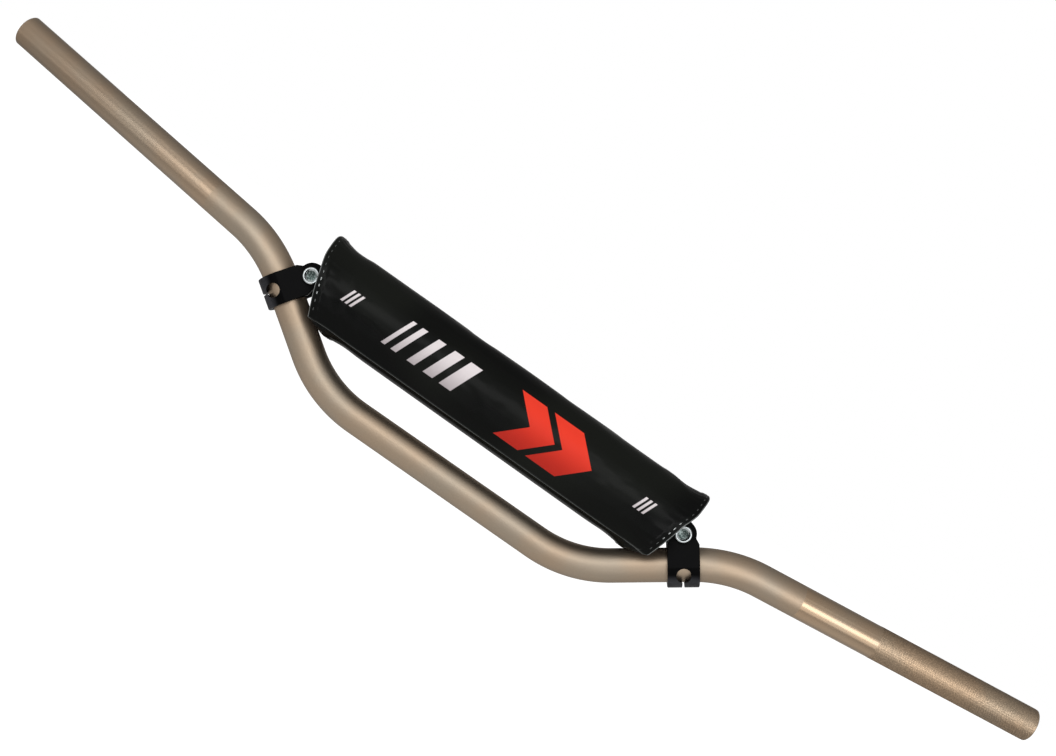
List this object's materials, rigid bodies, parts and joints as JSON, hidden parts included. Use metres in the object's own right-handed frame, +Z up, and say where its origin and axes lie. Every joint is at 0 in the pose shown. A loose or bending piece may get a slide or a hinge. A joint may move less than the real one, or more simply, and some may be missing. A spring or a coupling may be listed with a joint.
{
  "type": "motocross handlebar",
  "caption": "Motocross handlebar: a bent tube with swept-back ends, a crossbar held by bolted strap clamps, and a foam bar pad in a wrapped vinyl cover.",
  "frame": {"origin": "on the tube's axis, in the middle of the straight section that the bike's handlebar clamps hold", "axes": "+X along the bar, to the right as seen from the bike's front; +Y back towards the rider; +Z up towards the crossbar"},
  "size_m": [0.8206, 0.0838, 0.106],
  "materials": {
    "bronze_anodised_aluminium": "bead-blasted, with polished and knurled grip zones",
    "black_anodised_aluminium": "satin anodised",
    "natural_aluminium": "satin",
    "zinc_plated_steel": "zinc plated",
    "white_nylon": "moulded",
    "grey_foam": "matte",
    "black_vinyl": "gloss",
    "closure_tape": "napped"
  },
  "bodies": {
    "root": {"handlebar_tube": "bronze_anodised_aluminium", "crossbar": "natural_aluminium", "crossbar_clamp_left": "black_anodised_aluminium", "crossbar_clamp_right": "black_anodised_aluminium", "clamp_bolt_left": "zinc_plated_steel", "clamp_bolt_right": "zinc_plated_steel", "clamp_washer_left": "zinc_plated_steel", "clamp_washer_right": "zinc_plated_steel", "clamp_nut_left": "zinc_plated_steel", "clamp_nut_right": "zinc_plated_steel", "nut_locking_ring_left": "white_nylon", "nut_locking_ring_right": "white_nylon", "pad_foam": "grey_foam", "pad_cover": "black_vinyl", "hook_tape": "closure_tape", "loop_tape": "closure_tape"}
  },
  "joints": []
}
